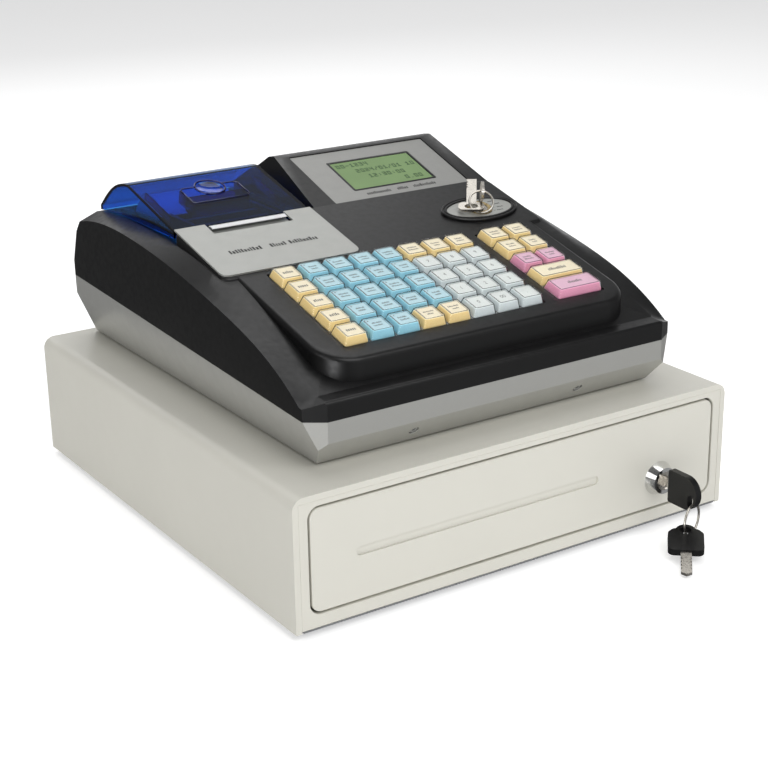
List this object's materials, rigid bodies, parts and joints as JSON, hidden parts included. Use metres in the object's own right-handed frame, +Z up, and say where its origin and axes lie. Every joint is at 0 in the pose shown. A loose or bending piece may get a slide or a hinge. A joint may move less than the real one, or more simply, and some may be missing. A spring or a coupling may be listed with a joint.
{
  "type": "cash register",
  "caption": "Electronic cash register with sloped keyboard, hinged printer cover, display pod and mode lock, on a steel cash drawer with note bays and coin cups",
  "frame": {"origin": "bottom centre of the whole object's box, on the surface it stands on", "axes": "+Z up, front towards -Y, +X to the right seen from the front"},
  "size_m": [0.335, 0.4304, 0.2167],
  "materials": {
    "cabinet_paint": "satin paint",
    "drawer_paint": "satin paint",
    "zinc": "zinc plated",
    "clear_rubber": "soft",
    "black_plastic": "satin",
    "tray_plastic": "satin",
    "silver_plastic": "metallic paint",
    "screen_grey": "satin",
    "lcd": "gloss",
    "blue_clear": "clear tinted",
    "chrome": "polished",
    "nickel": "nickel plated",
    "brass": "turned",
    "roller_rubber": "matte",
    "paper": "matte",
    "board_green": "solder mask",
    "cap_white": "clear cap",
    "cap_blue": "clear cap",
    "cap_cream": "clear cap",
    "cap_pink": "clear cap"
  },
  "bodies": {
    "root": {"cabinet_shell": "cabinet_paint", "cabinet_base": "zinc", "cabinet_bezel": "cabinet_paint", "cabinet_feet": "clear_rubber", "slide_outer_rails": "zinc", "latch_solenoid": "zinc", "lower_case": "silver_plastic", "upper_case": "black_plastic", "case_screws": "zinc", "keyboard_plate": "zinc", "display_bezel": "black_plastic", "display_panel": "screen_grey", "lcd_glass": "lcd", "printer_plate": "silver_plastic", "printer_frame": "black_plastic", "paper_strip": "paper", "mode_lock_plate": "screen_grey", "mode_lock_body": "brass", "main_board": "board_green", "rear_sockets": "black_plastic"},
    "drawer": {"slide_inner_rails": "zinc", "drawer_pan": "drawer_paint", "drawer_front": "drawer_paint", "till_tray": "tray_plastic", "coin_cups": "tray_plastic", "drawer_lock_body": "chrome"},
    "drawer_lock": {"drawer_lock_plug": "nickel", "drawer_key": "black_plastic"},
    "drawer_ring": {"drawer_key_ring": "nickel"},
    "drawer_spare": {"drawer_spare_key": "black_plastic"},
    "latch": {"latch_lever": "zinc"},
    "cover": {"printer_cover": "blue_clear"},
    "platen": {"platen_roller": "roller_rubber"},
    "paper": {"paper_roll": "paper"},
    "mode_lock": {"mode_lock_plug": "nickel", "mode_key": "nickel"},
    "mode_ring": {"mode_key_ring": "nickel"},
    "mode_spare": {"mode_spare_key": "nickel"},
    "bill_clip_1": {"bill_clip_1": "tray_plastic"},
    "bill_clip_2": {"bill_clip_2": "tray_plastic"},
    "bill_clip_3": {"bill_clip_3": "tray_plastic"},
    "bill_clip_4": {"bill_clip_4": "tray_plastic"},
    "key_0": {"key_0": "cap_white"},
    "key_1": {"key_1": "cap_white"},
    "key_2": {"key_2": "cap_white"},
    "key_3": {"key_3": "cap_white"},
    "key_4": {"key_4": "cap_white"},
    "key_5": {"key_5": "cap_white"},
    "key_6": {"key_6": "cap_white"},
    "key_7": {"key_7": "cap_white"},
    "key_8": {"key_8": "cap_white"},
    "key_9": {"key_9": "cap_white"},
    "key_00": {"key_00": "cap_white"},
    "key_point": {"key_point": "cap_white"},
    "key_total": {"key_total": "cap_cream"},
    "key_cash": {"key_cash": "cap_pink"},
    "function_keys": {"function_keys": "cap_cream"},
    "department_keys": {"department_keys": "cap_blue"},
    "register_keys": {"register_keys": "cap_pink"}
  },
  "joints": [
    {"name": "drawer_slide", "type": "slide", "parent": "root", "child": "drawer", "axis": [0, -1, 0], "range_m": [0, 0.25]},
    {"name": "cover_hinge", "type": "hinge", "parent": "root", "child": "cover", "pos_m": [-0.0755, 0.18718, 0.1908], "axis": [-1, 0, 0], "range_deg": [0, 75]},
    {"name": "drawer_lock_turn", "type": "hinge", "parent": "drawer", "child": "drawer_lock", "pos_m": [0.1108, -0.14482, 0.035], "axis": [0, -1, 0], "range_deg": [0, 90]},
    {"name": "mode_lock_turn", "type": "hinge", "parent": "root", "child": "mode_lock", "pos_m": [0.0913, 0.02871, 0.18477], "axis": [0, 0.2419, -0.9703], "range_deg": [0, 80]},
    {"name": "latch_pull", "type": "hinge", "parent": "root", "child": "latch", "pos_m": [0, 0.19318, 0.0345], "axis": [1, 0, 0], "range_deg": [0, 8], "stiffness_Nm_per_rad": 0.05},
    {"name": "bill_clip_1_lift", "type": "hinge", "parent": "drawer", "child": "bill_clip_1", "pos_m": [-0.10687, 0.14118, 0.05], "axis": [-1, 0, 0], "range_deg": [0, 45], "stiffness_Nm_per_rad": 0.05, "springref_deg": -17.19},
    {"name": "bill_clip_2_lift", "type": "hinge", "parent": "drawer", "child": "bill_clip_2", "pos_m": [-0.03562, 0.14118, 0.05], "axis": [-1, 0, 0], "range_deg": [0, 45], "stiffness_Nm_per_rad": 0.05, "springref_deg": -17.19},
    {"name": "bill_clip_3_lift", "type": "hinge", "parent": "drawer", "child": "bill_clip_3", "pos_m": [0.03562, 0.14118, 0.05], "axis": [-1, 0, 0], "range_deg": [0, 45], "stiffness_Nm_per_rad": 0.05, "springref_deg": -17.19},
    {"name": "bill_clip_4_lift", "type": "hinge", "parent": "drawer", "child": "bill_clip_4", "pos_m": [0.10687, 0.14118, 0.05], "axis": [-1, 0, 0], "range_deg": [0, 45], "stiffness_Nm_per_rad": 0.05, "springref_deg": -17.19},
    {"name": "paper_roll_turn", "type": "hinge", "parent": "root", "child": "paper", "pos_m": [-0.0745, 0.15418, 0.1725], "axis": [1, 0, 0], "continuous": true},
    {"name": "platen_turn", "type": "hinge", "parent": "root", "child": "platen", "pos_m": [-0.0745, 0.08718, 0.184], "axis": [1, 0, 0], "continuous": true},
    {"name": "drawer_ring_swing", "type": "hinge", "parent": "drawer_lock", "child": "drawer_ring", "pos_m": [0.1108, -0.17782, 0.0274], "axis": [1, 0, 0], "range_deg": [-20, 20]},
    {"name": "drawer_spare_swing", "type": "hinge", "parent": "drawer_ring", "child": "drawer_spare", "pos_m": [0.10315, -0.18075, 0.0106], "axis": [-0.5745, -0.2205, 0.7882], "range_deg": [0, 30]},
    {"name": "mode_ring_swing", "type": "hinge", "parent": "mode_lock", "child": "mode_ring", "pos_m": [0.0913, 0.02518, 0.19893], "axis": [-0.831, 0.5397, 0.1346], "range_deg": [0, 8]},
    {"name": "mode_spare_swing", "type": "hinge", "parent": "mode_ring", "child": "mode_spare", "pos_m": [0.07996, 0.02236, 0.18937], "axis": [-0.1724, 0.7033, 0.6897], "range_deg": [0, 8]},
    {"name": "key_0_press", "type": "slide", "parent": "root", "child": "key_0", "axis": [0, 0.2419, -0.9703], "range_m": [0, 0.0035], "stiffness_N_per_m": 120, "springref_m": -0.003},
    {"name": "key_1_press", "type": "slide", "parent": "root", "child": "key_1", "axis": [0, 0.2419, -0.9703], "range_m": [0, 0.0035], "stiffness_N_per_m": 120, "springref_m": -0.003},
    {"name": "key_2_press", "type": "slide", "parent": "root", "child": "key_2", "axis": [0, 0.2419, -0.9703], "range_m": [0, 0.0035], "stiffness_N_per_m": 120, "springref_m": -0.003},
    {"name": "key_3_press", "type": "slide", "parent": "root", "child": "key_3", "axis": [0, 0.2419, -0.9703], "range_m": [0, 0.0035], "stiffness_N_per_m": 120, "springref_m": -0.003},
    {"name": "key_4_press", "type": "slide", "parent": "root", "child": "key_4", "axis": [0, 0.2419, -0.9703], "range_m": [0, 0.0035], "stiffness_N_per_m": 120, "springref_m": -0.003},
    {"name": "key_5_press", "type": "slide", "parent": "root", "child": "key_5", "axis": [0, 0.2419, -0.9703], "range_m": [0, 0.0035], "stiffness_N_per_m": 120, "springref_m": -0.003},
    {"name": "key_6_press", "type": "slide", "parent": "root", "child": "key_6", "axis": [0, 0.2419, -0.9703], "range_m": [0, 0.0035], "stiffness_N_per_m": 120, "springref_m": -0.003},
    {"name": "key_7_press", "type": "slide", "parent": "root", "child": "key_7", "axis": [0, 0.2419, -0.9703], "range_m": [0, 0.0035], "stiffness_N_per_m": 120, "springref_m": -0.003},
    {"name": "key_8_press", "type": "slide", "parent": "root", "child": "key_8", "axis": [0, 0.2419, -0.9703], "range_m": [0, 0.0035], "stiffness_N_per_m": 120, "springref_m": -0.003},
    {"name": "key_9_press", "type": "slide", "parent": "root", "child": "key_9", "axis": [0, 0.2419, -0.9703], "range_m": [0, 0.0035], "stiffness_N_per_m": 120, "springref_m": -0.003},
    {"name": "key_00_press", "type": "slide", "parent": "root", "child": "key_00", "axis": [0, 0.2419, -0.9703], "range_m": [0, 0.0035], "stiffness_N_per_m": 120, "springref_m": -0.003},
    {"name": "key_point_press", "type": "slide", "parent": "root", "child": "key_point", "axis": [0, 0.2419, -0.9703], "range_m": [0, 0.0035], "stiffness_N_per_m": 120, "springref_m": -0.003},
    {"name": "key_total_press", "type": "slide", "parent": "root", "child": "key_total", "axis": [0, 0.2419, -0.9703], "range_m": [0, 0.0035], "stiffness_N_per_m": 120, "springref_m": -0.003},
    {"name": "key_cash_press", "type": "slide", "parent": "root", "child": "key_cash", "axis": [0, 0.2419, -0.9703], "range_m": [0, 0.0035], "stiffness_N_per_m": 120, "springref_m": -0.003},
    {"name": "function_keys_press", "type": "slide", "parent": "root", "child": "function_keys", "axis": [0, 0.2419, -0.9703], "range_m": [0, 0.0035], "stiffness_N_per_m": 1680, "springref_m": -0.003},
    {"name": "department_keys_press", "type": "slide", "parent": "root", "child": "department_keys", "axis": [0, 0.2419, -0.9703], "range_m": [0, 0.0035], "stiffness_N_per_m": 2160, "springref_m": -0.003},
    {"name": "register_keys_press", "type": "slide", "parent": "root", "child": "register_keys", "axis": [0, 0.2419, -0.9703], "range_m": [0, 0.0035], "stiffness_N_per_m": 240, "springref_m": -0.003}
  ]
}
